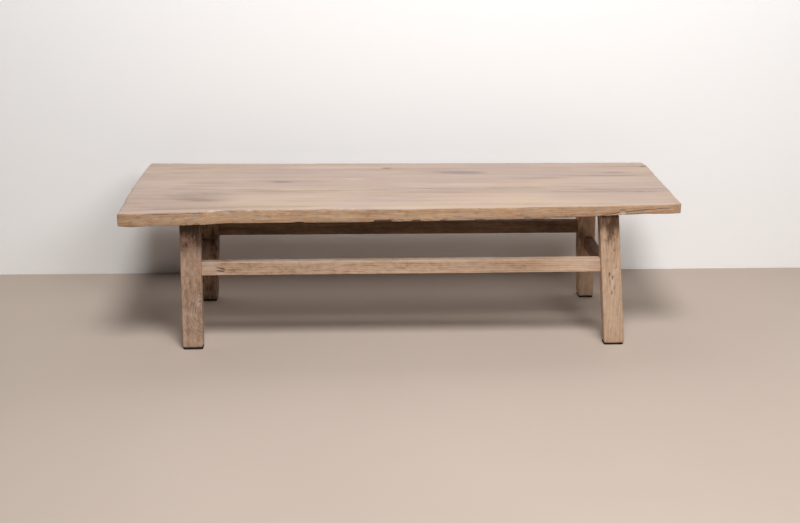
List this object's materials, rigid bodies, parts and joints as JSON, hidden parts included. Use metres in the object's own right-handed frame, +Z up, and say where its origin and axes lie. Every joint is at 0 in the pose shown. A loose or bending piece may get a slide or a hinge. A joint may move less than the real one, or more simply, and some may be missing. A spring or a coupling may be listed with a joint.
{
  "type": "kang table",
  "caption": "Long low table of old elm boards on splayed square legs, tied by long and short stretchers, with a waney front edge and felt pads.",
  "frame": {"origin": "on the floor, under the middle of the box round the table top", "axes": "+X along the table to the right end, +Y from the front edge to the rear, +Z up"},
  "size_m": [1.61, 0.572, 0.44],
  "materials": {
    "elm_top": "sun-bleached, scrubbed elm, matt, with open grain, knots and worn arrises",
    "elm_frame": "golden-brown old elm, matt, with long grain lines and handling wear",
    "elm_batten": "darker unbleached elm of the underside, matt",
    "elm_hidden": "clean planed elm inside the joints",
    "peg_wood": "dark hardwood peg, end grain at the head",
    "felt": "dense black-brown wool felt"
  },
  "bodies": {
    "root": {"top_board_front": "elm_top", "top_board_rear": "elm_top", "seam_tenon_1": "elm_hidden", "seam_tenon_2": "elm_hidden", "seam_tenon_3": "elm_hidden", "seam_tenon_4": "elm_hidden", "batten_left": "elm_batten", "batten_right": "elm_batten", "stretcher_front": "elm_frame", "stretcher_rear": "elm_frame", "stretcher_left": "elm_frame", "stretcher_right": "elm_frame", "leg_front_left": "elm_frame", "wedge_front_left": "elm_hidden", "foot_pad_front_left": "felt", "peg_long_front_left": "peg_wood", "peg_short_front_left": "peg_wood", "leg_front_right": "elm_frame", "wedge_front_right": "elm_hidden", "foot_pad_front_right": "felt", "peg_long_front_right": "peg_wood", "peg_short_front_right": "peg_wood", "leg_rear_left": "elm_frame", "wedge_rear_left": "elm_hidden", "foot_pad_rear_left": "felt", "peg_long_rear_left": "peg_wood", "peg_short_rear_left": "peg_wood", "leg_rear_right": "elm_frame", "wedge_rear_right": "elm_hidden", "foot_pad_rear_right": "felt", "peg_long_rear_right": "peg_wood", "peg_short_rear_right": "peg_wood"}
  },
  "joints": []
}
